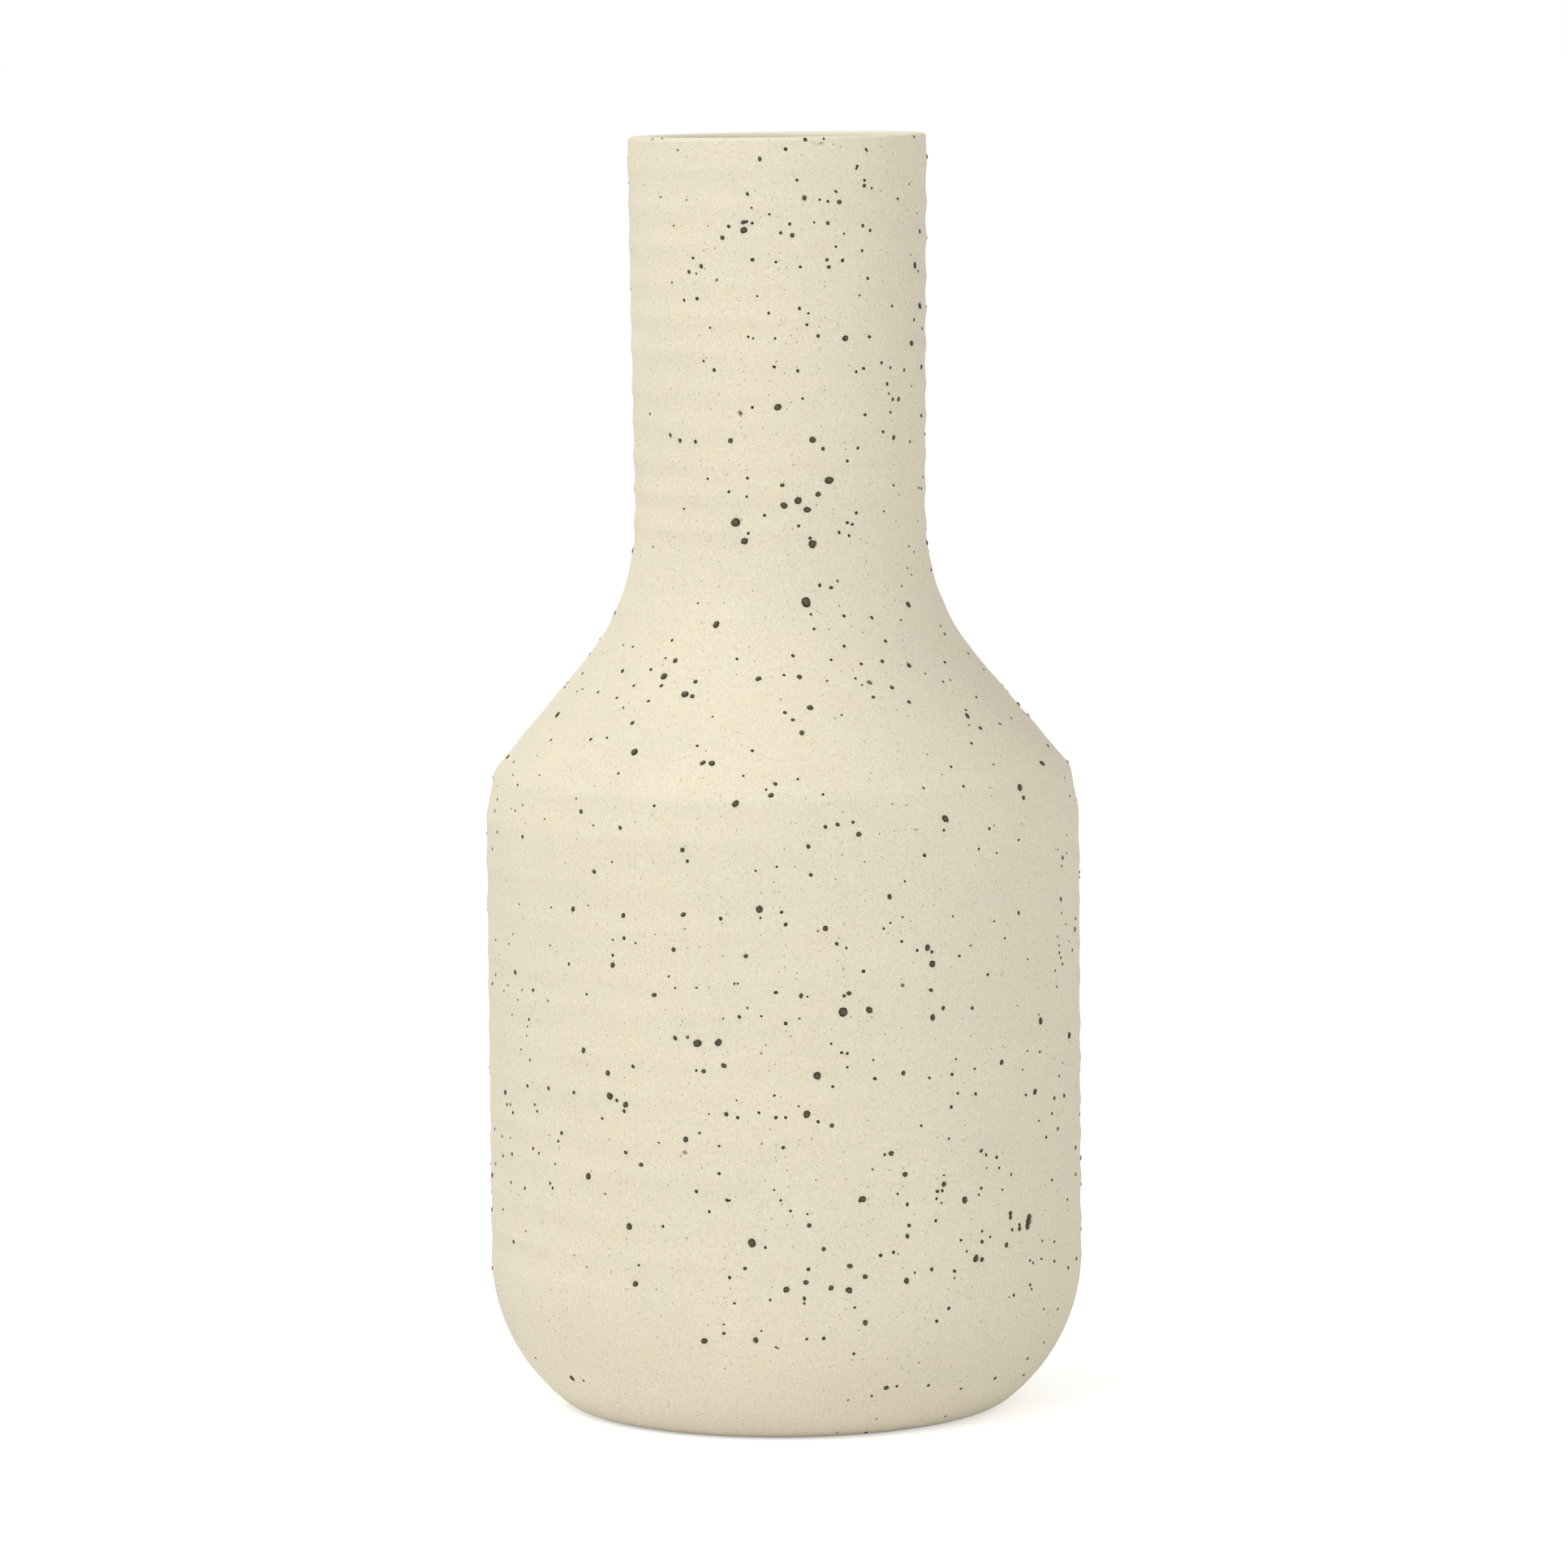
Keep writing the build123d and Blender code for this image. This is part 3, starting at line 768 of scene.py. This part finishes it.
class Section:
    """Half section of a turned piece, drawn in millimetres by a moving tip."""

    LEAST_ARC_STEPS = 6
    ACROSS = (0, -1, 0)
    AXIS = (0, 0, 1)
    ORIGIN = (0, 0, 0)

    def __init__(self, radius: float, height: float, step: float) -> None:
        """Starts the line.

        Args:
            radius: Distance of its first point from the axis.
            height: Height of its first point.
            step: Longest edge that the line is made of.
        """
        self.mesh = bmesh.new()
        self.step = step
        self.tip = self.mesh.verts.new((radius * MM, 0.0, height * MM))

    def line(self, radius: float, height: float) -> None:
        """Runs the line straight to a point.

        Args:
            radius: The point's distance from the axis.
            height: The point's height.
        """
        run = Vector((radius * MM, 0.0, height * MM)) - self.tip.co
        steps = math.ceil(run.length / (self.step * MM))
        drawn = bmesh.ops.spin(
            self.mesh,
            geom=[self.tip],
            cent=self.ORIGIN,
            axis=self.ACROSS,
            dvec=run / steps,
            angle=0.0,
            steps=steps,
        )
        self.tip = drawn["geom_last"][0]

    def arc(self, radius: float, height: float, turn: float) -> None:
        """Swings the tip round a centre.

        Args:
            radius: The centre's distance from the axis.
            height: The centre's height.
            turn: Angle in radians, counter-clockwise in the section.
        """
        centre = Vector((radius * MM, 0.0, height * MM))
        reach = (self.tip.co - centre).length
        steps = max(self.LEAST_ARC_STEPS, math.ceil(abs(turn) * reach / (self.step * MM)))
        swung = bmesh.ops.spin(
            self.mesh, geom=[self.tip], cent=centre, axis=self.ACROSS, angle=turn, steps=steps
        )
        self.tip = swung["geom_last"][0]

    def corner(self, at: tuple[float, float], onward: tuple[float, float], radius: float) -> None:
        """Runs the line towards a corner and rounds it.

        Args:
            at: The sharp corner, as radius and height.
            onward: A point further on, which the rounded line heads for.
            radius: Radius of the rounding.
        """
        here = Vector((self.tip.co.x, self.tip.co.z)) / MM
        before = (Vector(at) - here).normalized()
        after = (Vector(onward) - Vector(at)).normalized()
        turn = math.atan2(before.x * after.y - before.y * after.x, before.dot(after))
        start = Vector(at) - before * radius * math.tan(abs(turn) / 2)
        side = Vector((-before.y, before.x)) * math.copysign(radius, turn)
        self.line(*start)
        self.arc(*(start + side), turn)

    def turned(self, columns: int, wall: Wall) -> bmesh.types.BMesh:
        """Turns the line into a surface about the axis.

        Args:
            columns: Number of faces round the axis.
            wall: Way in which the surface faces.

        Returns:
            The surface's mesh.
        """
        bmesh.ops.spin(
            self.mesh,
            geom=[*self.mesh.verts, *self.mesh.edges],
            cent=self.ORIGIN,
            axis=self.AXIS,
            angle=math.tau,
            steps=columns,
            use_merge=True,
        )
        bmesh.ops.remove_doubles(self.mesh, verts=self.mesh.verts, dist=MERGE)
        bmesh.ops.recalc_face_normals(self.mesh, faces=self.mesh.faces)
        self.mesh.faces.ensure_lookup_table()
        probe = max(self.mesh.faces, key=lambda face: face.calc_center_median().xy.length)
        outward = probe.normal.dot(Vector((*probe.calc_center_median().xy, 0.0)))
        if outward * wall.value < 0:
            bmesh.ops.reverse_faces(self.mesh, faces=self.mesh.faces)
        self.mesh.normal_update()
        return self.mesh


def new_piece(name: str, mesh: bmesh.types.BMesh, stands_for: str) -> bpy.types.Object:
    """Makes an object of the vase from a finished mesh.

    Args:
        name: The piece's name.
        mesh: Its mesh, which is used up.
        stands_for: CAD node that it replaces.

    Returns:
        The piece.
    """
    data = bpy.data.meshes.new(name)
    mesh.to_mesh(data)
    mesh.free()
    data.shade_smooth()
    data.set_sharp_from_angle(angle=math.radians(SHARP_DEG))
    piece = bpy.data.objects.new(name, data)
    bpy.context.scene.collection.objects.link(piece)
    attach(piece, "root")
    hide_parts(stands_for)
    log.info("%s: %d faces", name, len(data.polygons))
    return piece


@dataclass(frozen=True)
class Unevenness:
    """Slow change round and up the wall, as a hand leaves it."""

    around: float
    upward: float
    start: tuple[float, float]
    strength: float

    def at(self, way: Vector, height: float) -> float:
        """Its value at a direction from the axis and a height."""
        across = way * self.around + Vector(self.start)
        return self.strength * noise.noise(Vector((*across, height * self.upward)))


@dataclass
class ThrowingRings:
    """Finger marks round body and neck: sharp crests at their pixels of the photograph, and wide troughs."""

    neck_across: float = 800.0
    neck_downs: tuple[float, ...] = (206, 254, 299, 348, 389, 431, 480, 519, 568, 607, 650)
    body_across: float = 640.0
    body_downs: tuple[float, ...] = (1020, 1080, 1132, 1190, 1229, 1288, 1330, 1382, 1424, 1479, 1528, 1573)
    shoulder_count: int = 7
    crest_reach: float = 0.3
    body_depth: float = 0.46
    body_sink: float = 0.09
    body_highest: float = 0.14
    neck_depth: float = 0.58
    neck_sink: float = 0.04
    neck_highest: float = 0.3
    lowest: float = -0.23
    start_height: float = 30.0
    start_run: float = 10.0
    shoulder_heights: tuple[float, float] = (150.0, 192.0)
    shoulder_share: float = 0.55
    wiped_height: float = 199.0
    wiped_reach: float = 9.0
    end_run: float = 5.0
    lip_groove: float = 0.18
    groove_height: float = 298.2
    groove_reach: float = 1.1
    sway: Unevenness = Unevenness(0.9, 0.035, (0.0, 0.0), 0.1)
    usual_force: float = 0.85
    force: Unevenness = Unevenness(1.3, 0.07, (7.0, 0.0), 0.45)
    loose: Unevenness = Unevenness(2.2, 0.16, (0.0, 5.0), 0.35)
    crests: list[float] = field(init=False)

    def find_crests(self, view: PhotoView, wall: BVHTree) -> None:
        """Finds the crests' heights where the lines of sight meet the smooth wall.

        Args:
            view: Camera of the photograph.
            wall: The smooth wall.
        """
        body, neck = (
            sorted(wall.ray_cast(*view.ray(across, down))[0].z / MM for down in downs)
            for across, downs in ((self.body_across, self.body_downs), (self.neck_across, self.neck_downs))
        )
        pitch = (neck[0] - body[-1]) / self.shoulder_count
        self.crests = body + [body[-1] + pitch * step for step in range(1, self.shoulder_count)] + neck

    def phase(self, height: float) -> float:
        """Number of crests below a height, with the share of the way to the next one."""
        after = min(len(self.crests) - 1, max(1, bisect(self.crests, height)))
        low, high = self.crests[after - 1], self.crests[after]
        return after + (height - low) / (high - low)

    def strength(self, height: float) -> float:
        """How strong the marks are: none on the heel, weak on the shoulder and wiped away in the flare.

        Args:
            height: Height in millimetres.

        Returns:
            Share of the full depth.
        """
        low, high = self.shoulder_heights
        start = clamp((height - self.start_height) / self.start_run)
        shoulder = self.shoulder_share if low < height < high else 1.0
        wiped = clamp(abs(height - self.wiped_height) / self.wiped_reach)
        end = clamp((self.groove_height - height) / self.end_run)
        return start * shoulder * wiped * end

    def lift(self, point: Vector) -> float:
        """Distance in millimetres by which the marks raise a point of the wall.

        Args:
            point: Place on the smooth wall, in metres.

        Returns:
            The distance, below zero in a trough.
        """
        height = point.z / MM
        way = point.xy.normalized()
        phase = self.phase(height) + self.sway.at(way, height)
        crest = math.exp(-abs(phase - round(phase)) / self.crest_reach)
        force = self.usual_force + self.force.at(way, height)
        wave = (2.0 * crest - 1.0) * force + self.loose.at(way, height)
        groove = self.lip_groove * math.exp(-(((height - self.groove_height) / self.groove_reach) ** 2))
        if height < self.wiped_height:
            depth, sink, highest = self.body_depth, self.body_sink, self.body_highest
        else:
            depth, sink, highest = self.neck_depth, self.neck_sink, self.neck_highest
        lift = (depth / 2 * wave - sink) * self.strength(height) - groove
        return min(highest, max(self.lowest, lift))


@dataclass
class OuterCoat:
    """Outer glaze from the foot over the wall to the crest of the lip."""

    form: Form
    rings: ThrowingRings = field(default_factory=ThrowingRings)
    band_radius: float = 40.0
    shoulder_radius: float = 8.0
    flare_radius: float = 52.0
    step: float = 1.0
    columns: int = 112
    tree: BVHTree = field(init=False)

    def section(self) -> Section:
        """Draws the outer line from the foot to the crest of the lip.

        Returns:
            The section.
        """
        form = self.form
        inset = form.body_radius - form.foot_radius
        rise = form.heel_height - form.foot_curve
        heel_radius = (rise**2 + inset**2 - form.foot_curve**2) / (2 * (inset - form.foot_curve))
        heel_turn = math.asin(rise / (heel_radius - form.foot_curve))
        dry_turn = math.acos(1 - form.dry_foot / form.foot_curve)
        root_height = form.slope_height(form.neck_radius, 0.0)
        band = (form.body_radius, form.shoulder_height - form.shoulder_band)
        edge = (form.body_radius - form.shoulder_tuck, form.shoulder_height)
        root = (form.neck_radius, root_height)
        joint = (form.neck_radius, root_height + form.joint_rise)
        line = Section(form.foot_radius + form.foot_curve * math.sin(dry_turn), form.dry_foot, self.step)
        line.arc(form.foot_radius, form.foot_curve, math.pi / 2 - dry_turn - heel_turn)
        line.arc(form.body_radius - heel_radius, form.heel_height, heel_turn)
        line.corner(band, edge, self.band_radius)
        line.corner(edge, root, self.shoulder_radius)
        line.corner(root, joint, self.flare_radius)
        line.line(*joint)
        line.line(form.rim_radius, form.lip_height)
        line.arc(form.rim_radius - form.lip_radius, form.lip_height, math.pi / 2)
        line.line(form.crest_radius, form.height)
        return line

    def build(self, view: PhotoView) -> bpy.types.Object:
        """Turns the coat, presses the throwing rings into it and gives it its thickness.

        Args:
            view: Camera of the photograph.

        Returns:
            The piece.
        """
        mesh = self.section().turned(self.columns, Wall.OUTWARD)
        self.rings.find_crests(view, BVHTree.FromBMesh(mesh))
        for vert in mesh.verts:
            vert.co += vert.normal * self.rings.lift(vert.co) * MM
        tilt_lip(mesh, self.form)
        mesh.normal_update()
        self.tree = BVHTree.FromBMesh(mesh)
        bmesh.ops.solidify(mesh, geom=mesh.faces[:], thickness=self.form.glaze * MM)
        return new_piece("outer_coat", mesh, "outer_glaze")

    def smudges(self, view: PhotoView) -> tuple[Smudge, ...]:
        """Rubbed marks at their pixels of the photograph.

        Args:
            view: Camera of the photograph.

        Returns:
            The marks, in the coat's own coordinates.
        """
        marks = []
        for across, down, length in RUBBED_MARKS:
            place = self.tree.ray_cast(*view.ray(across, down))[0]
            marks.append(Smudge(place, view.width_at(length, place)))
        return tuple(marks)


def tilt_lip(mesh: bmesh.types.BMesh, form: Form) -> None:
    """Lets the lip sink a little towards the left, as a cut rim does.

    Args:
        mesh: Mesh whose top is tilted.
        form: Sizes of the vase.
    """
    for vert in mesh.verts:
        share = clamp((vert.co.z / MM - form.height + form.tilt_depth) / form.tilt_run)
        vert.co.z -= form.lip_tilt * MM * share * (0.5 - vert.co.x / MM / form.rim_radius / 2)


@dataclass
class InnerLiner:
    """Liner glaze from the crest of the lip down to the floor."""

    form: Form
    flare_radius: float = 57.0
    shoulder_radius: float = 10.0
    heel_radius: float = 26.0
    step: float = 3.0
    columns: int = 112

    def section(self) -> Section:
        """Draws the inner line from the crest of the lip to the middle of the floor.

        Returns:
            The section.
        """
        form = self.form
        bowl = form.body_radius - form.wall
        neck = (form.mouth_radius, form.slope_height(form.mouth_radius, form.wall))
        shoulder = (bowl, form.slope_height(bowl, form.wall))
        heel = (bowl, form.floor)
        line = Section(form.crest_radius, form.height, self.step)
        line.line(form.mouth_radius + form.lip_radius, form.height)
        line.arc(form.mouth_radius + form.lip_radius, form.lip_height, math.pi / 2)
        line.corner(neck, shoulder, self.flare_radius)
        line.corner(shoulder, heel, self.shoulder_radius)
        line.corner(heel, (0.0, form.floor), self.heel_radius)
        line.line(0.0, form.floor)
        return line

    def build(self) -> bpy.types.Object:
        """Turns the liner and gives it its thickness.

        Returns:
            The piece.
        """
        mesh = self.section().turned(self.columns, Wall.INWARD)
        tilt_lip(mesh, self.form)
        mesh.normal_update()
        bmesh.ops.solidify(mesh, geom=mesh.faces[:], thickness=self.form.glaze * MM)
        return new_piece("inner_liner", mesh, "liner_glaze")


@dataclass(frozen=True)
class Bead:
    """One bead of melted iron on the coat."""

    place: Vector
    normal: Vector
    width: float
    tone: Tone = Tone.IRON


@dataclass
class IronBeads:
    """Melted iron spots: the solids', those read on the photograph, more at the back, fine ones all round."""

    TONE = "tone"
    # Attribute that carries the painted highlight on each bead's top
    PAINTED_HIGHLIGHT = "painted_highlight"

    coat: OuterCoat
    view: PhotoView
    rise_share: float = 0.24
    columns: int = 10
    rows: int = 5
    stretches: tuple[float, float] = (0.86, 1.14)
    dent_share: float = 0.24
    dent_scale: float = 2600.0
    # Bead widths over which the painted highlight grows from none to full
    painted_highlight_widths: tuple[float, float] = (0.55, 1.1)
    strewn_heights: tuple[float, float] = (3.0, 297.0)
    small_bias: float = 2.2
    iron_per_olive: int = 11
    fine_count: int = 130
    fine_widths: tuple[float, float] = (0.3, 0.5)
    front_turns: tuple[float, float] = (-90.0, 90.0)
    behind_turns: tuple[float, float] = (90.0, 270.0)
    back_count: int = 480
    back_widths: tuple[float, float] = (0.57, 1.5)
    back_turns: tuple[float, float] = (84.0, 276.0)
    batch: int = 40
    seed: int = 7
    draw: random.Random = field(init=False)

    def __post_init__(self) -> None:
        """Starts the seeded draw."""
        self.draw = random.Random(self.seed)

    def solid_beads(self) -> Iterator[Bead]:
        """Beads where the CAD node has its caps.

        Yields:
            One bead for each cap.
        """
        caps = bmesh.new()
        caps.from_mesh(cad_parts["iron_spots"].data)
        bmesh.ops.remove_doubles(caps, verts=caps.verts, dist=MERGE)
        reached: set[bmesh.types.BMVert] = set()
        for first in caps.verts:
            if first in reached:
                continue
            reached.add(first)
            island = [first]
            for vert in island:
                near = [edge.other_vert(vert) for edge in vert.link_edges]
                fresh = [other for other in near if other not in reached]
                reached.update(fresh)
                island += fresh
            middle = sum((vert.co for vert in island), Vector()) / len(island)
            place, normal, _, _ = self.coat.tree.find_nearest(middle)
            yield Bead(place, normal, 2 * max((vert.co - middle).length for vert in island))
        caps.free()

    def seen_beads(self, spots: tuple[Spot, ...], tone: Tone) -> Iterator[Bead]:
        """Beads at pixels of the photograph.

        Args:
            spots: Their pixels and widths.
            tone: Their colour.

        Yields:
            One bead for each pixel that meets the coat.
        """
        for across, down, width in spots:
            place, normal, _, _ = self.coat.tree.ray_cast(*self.view.ray(across, down))
            if place:
                yield Bead(place, normal, self.view.width_at(width, place), tone)

    def strewn_beads(
        self, count: int, turns: tuple[float, float], widths: tuple[float, float]
    ) -> Iterator[Bead]:
        """Beads strewn at random, evenly over the wall.

        Args:
            count: How many there are.
            turns: Range of angles round the axis from the front, in degrees.
            widths: Smallest and largest width in millimetres; small ones are the most common.

        Yields:
            One bead after the other.
        """
        widest = self.coat.form.body_radius * MM
        least, most = widths
        tones = (Tone.IRON,) * self.iron_per_olive + (Tone.OLIVE,)
        while count:
            turn = math.radians(self.draw.uniform(*turns) - 90)
            out = Vector((math.cos(turn), math.sin(turn), 0.0))
            origin = out * 2 * widest + Vector((0, 0, self.draw.uniform(*self.strewn_heights) * MM))
            place, normal, _, _ = self.coat.tree.ray_cast(origin, -out)
            if self.draw.random() > place.xy.length / widest:
                continue
            width = least + (most - least) * self.draw.random() ** self.small_bias
            count -= 1
            yield Bead(place, normal, width * MM, self.draw.choice(tones))

    def add_bead(self, mesh: bmesh.types.BMesh, bead: Bead) -> None:
        """Melts one bead onto the coat, unless it would leave the vase's box.

        Args:
            mesh: Mesh that takes the bead.
            bead: Its place, width and colour.
        """
        half = bead.width / 2
        stretch = self.draw.uniform(*self.stretches)
        size = Matrix.Diagonal((half * stretch, half / stretch, bead.width * self.rise_share, 1.0))
        spin = Matrix.Rotation(self.draw.uniform(0.0, math.tau), 4, "Z")
        lean = bead.normal.to_track_quat("Z", "Y").to_matrix().to_4x4()
        made = bmesh.ops.create_uvsphere(
            mesh,
            u_segments=self.columns,
            v_segments=self.rows,
            radius=1.0,
            matrix=Matrix.Translation(bead.place) @ lean @ spin @ size,
        )["verts"]
        low, high = cad_box
        inside = all(low[axis] <= vert.co[axis] <= high[axis] for vert in made for axis in range(3))
        if not inside:
            bmesh.ops.delete(mesh, geom=made, context="VERTS")
            return
        tone = mesh.verts.layers.float[self.TONE]
        painted_highlight = mesh.verts.layers.float[self.PAINTED_HIGHLIGHT]
        small, large = self.painted_highlight_widths
        # Painted highlight: wider beads get more of it, strongest at the bead's top
        highlight_share = clamp((bead.width / MM - small) / (large - small))
        for vert in made:
            rise = (vert.co - bead.place).dot(bead.normal) / (bead.width * self.rise_share)
            vert[tone] = bead.tone.value
            vert[painted_highlight] = highlight_share * max(0.0, rise) ** 2
            dent = self.dent_share * noise.noise(vert.co * self.dent_scale)
            vert.co += (vert.co - bead.place) * dent

    def build(self) -> bpy.types.Object:
        """Gathers every bead in one mesh.

        Returns:
            The piece.
        """
        groups = (
            self.solid_beads(),
            self.seen_beads(NECK_SPOTS + SHOULDER_SPOTS + BODY_SPOTS + HEEL_SPOTS, Tone.IRON),
            self.seen_beads(OLIVE_SPOTS, Tone.OLIVE),
            self.seen_beads(TAN_SPOTS, Tone.TAN),
            self.strewn_beads(self.fine_count, self.front_turns, self.fine_widths),
            self.strewn_beads(self.back_count, self.back_turns, self.back_widths),
            self.strewn_beads(self.fine_count, self.behind_turns, self.fine_widths),
        )
        beads = [bead for group in groups for bead in group]
        whole = self.empty_mesh()
        for start in range(0, len(beads), self.batch):
            whole.from_mesh(self.melted(beads[start : start + self.batch]))
        return new_piece("iron_beads", whole, "iron_spots")

    def empty_mesh(self) -> bmesh.types.BMesh:
        """Mesh with the two attributes that the finish reads."""
        mesh = bmesh.new()
        mesh.verts.layers.float.new(self.TONE)
        mesh.verts.layers.float.new(self.PAINTED_HIGHLIGHT)
        return mesh

    def melted(self, beads: list[Bead]) -> bpy.types.Mesh:
        """Melts a batch of beads onto the coat.

        Args:
            beads: The beads.

        Returns:
            Their mesh.
        """
        mesh = self.empty_mesh()
        for bead in beads:
            self.add_bead(mesh, bead)
        data = bpy.data.meshes.new("bead_batch")
        mesh.to_mesh(data)
        mesh.free()
        return data


@dataclass
class ClaySections:
    """Thrown body, thrown neck and the slip between them, which stay as their solids are."""

    clay: BareStoneware = BareStoneware("stoneware", shade(206, 188, 158), shade(192, 168, 134))
    slip: BareStoneware = BareStoneware("slip", shade(196, 178, 148), shade(184, 162, 130))

    def dress(self, effects: ClayEffects) -> None:
        """Gives the three solids their bare fired finish.

        Args:
            effects: Shared node groups.
        """
        clay, slip = self.clay.material(effects), self.slip.material(effects)
        for node, finish in (("body_section", clay), ("neck_section", clay), ("luting_slip", slip)):
            put_on(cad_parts[node], finish)
            log.info("%s: bare %s", node, finish.name)


def put_on(piece: bpy.types.Object, finish: bpy.types.Material) -> None:
    """Makes a finish the only one of a piece."""
    piece.data.materials.clear()
    piece.data.materials.append(finish)


@dataclass(frozen=True)
class SoftLamp:
    """Round soft lamp that faces the middle of the vase."""

    name: str
    power: float
    size: float
    distance: float
    turn_deg: float
    rise_deg: float
    aim: tuple[float, float, float] = (0.0, 0.0, 150 * MM)

    def build(self) -> bpy.types.Object:
        """Hangs the lamp.

        Returns:
            The lamp object.
        """
        lamp = bpy.data.lights.new(self.name, "AREA")
        lamp.shape = "DISK"
        lamp.size = self.size
        lamp.energy = self.power
        turn, rise = math.radians(self.turn_deg), math.radians(self.rise_deg)
        back = Vector((math.sin(turn) * math.cos(rise), -math.cos(turn) * math.cos(rise), math.sin(rise)))
        light = bpy.data.objects.new(self.name, lamp)
        light.location = Vector(self.aim) + back * self.distance
        light.rotation_euler = (-back).to_track_quat("-Z", "Y").to_euler()
        bpy.context.scene.collection.objects.link(light)
        return light


@dataclass
class Studio:
    """White sweep, even light from all sides, and soft lamps: front left, right, and high on the left."""

    floor_colour: Rgba = shade(250, 250, 251)
    floor_roughness: float = 0.9
    floor_specular: float = 0.1
    floor_reach: float = 30.0
    floor_glow: float = 0.49
    sky_light: float = 0.52
    lamps: tuple[SoftLamp, ...] = (
        SoftLamp("key_lamp", 15.8, 1.4, 2.2, -35.0, 35.0),
        SoftLamp("fill_lamp", 7.8, 1.4, 2.2, 50.0, 5.0),
        SoftLamp("high_lamp", 12.2, 1.0, 2.2, -102.0, 68.0),
    )

    def build(self) -> None:
        """Makes the floor, the lamps and the surrounding light."""
        self.build_floor()
        for lamp in self.lamps:
            lamp.build()
        self.build_sky()
        bpy.context.scene.view_settings.view_transform = "Standard"

    def build_floor(self) -> None:
        """Lays a pale floor that the camera sees as white and that keeps the shadow."""
        mesh = bmesh.new()
        bmesh.ops.create_grid(mesh, x_segments=1, y_segments=1, size=self.floor_reach)
        data = bpy.data.meshes.new("floor")
        mesh.to_mesh(data)
        mesh.free()
        floor = bpy.data.objects.new("floor", data)
        bpy.context.scene.collection.objects.link(floor)
        floor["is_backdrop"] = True
        material, graph, shader, _ = new_material("white_sweep")
        shader.inputs["Base Color"].default_value = self.floor_colour
        shader.inputs["Roughness"].default_value = self.floor_roughness
        shader.inputs["Specular IOR Level"].default_value = self.floor_specular
        seen = graph.add("LightPath").outputs["Is Camera Ray"]
        glow = graph.add("Emission", {"Strength": graph.sum("MULTIPLY", seen, self.floor_glow)})
        both = graph.add("AddShader", {0: shader.outputs[0], 1: glow.outputs[0]})
        graph.feed(material.node_tree.nodes["Material Output"].inputs["Surface"], both.outputs[0])
        put_on(floor, material)

    def build_sky(self) -> None:
        """Surrounds the vase with even light, which looks white wherever it is seen."""
        world = bpy.data.worlds.new("studio")
        world.use_nodes = True
        bpy.context.scene.world = world
        graph = Graph(world.node_tree)
        path = graph.add("LightPath").outputs
        mirrored = graph.sum("MAXIMUM", path["Is Glossy Ray"], path["Is Transmission Ray"])
        seen = graph.sum("MAXIMUM", path["Is Camera Ray"], mirrored)
        lit = graph.add("Background", {"Color": shade(255, 255, 255), "Strength": self.sky_light})
        white = graph.add("Background", {"Color": shade(255, 255, 255), "Strength": 1.0})
        both = graph.add("MixShader", {0: seen, 1: lit.outputs[0], 2: white.outputs[0]})
        graph.feed(world.node_tree.nodes["World Output"].inputs["Surface"], both.outputs[0])


def write_sizes() -> None:
    """Gathers the CAD box and the dressed vase's box into a table that is not kept."""
    boxes = {"cad": cad_box, "visual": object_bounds()}
    {name: [list(corner) for corner in box] for name, box in boxes.items()}


def main() -> None:
    """Builds the vase and its studio in order."""
    logging.basicConfig(level=logging.INFO, format="%(name)s: %(message)s")
    view = PhotoView()
    view.build()
    Studio().build()
    effects = ClayEffects()
    form = Form()
    coat = OuterCoat(form)
    coat_piece = coat.build(view)
    put_on(coat_piece, MatteGlaze(smudges=coat.smudges(view)).material(effects))
    put_on(InnerLiner(form).build(), LinerGlaze().material(effects))
    put_on(IronBeads(coat, view).build(), MeltedIron().material(effects))
    ClaySections().dress(effects)
    write_sizes()


if __name__ == "__main__":
    main()
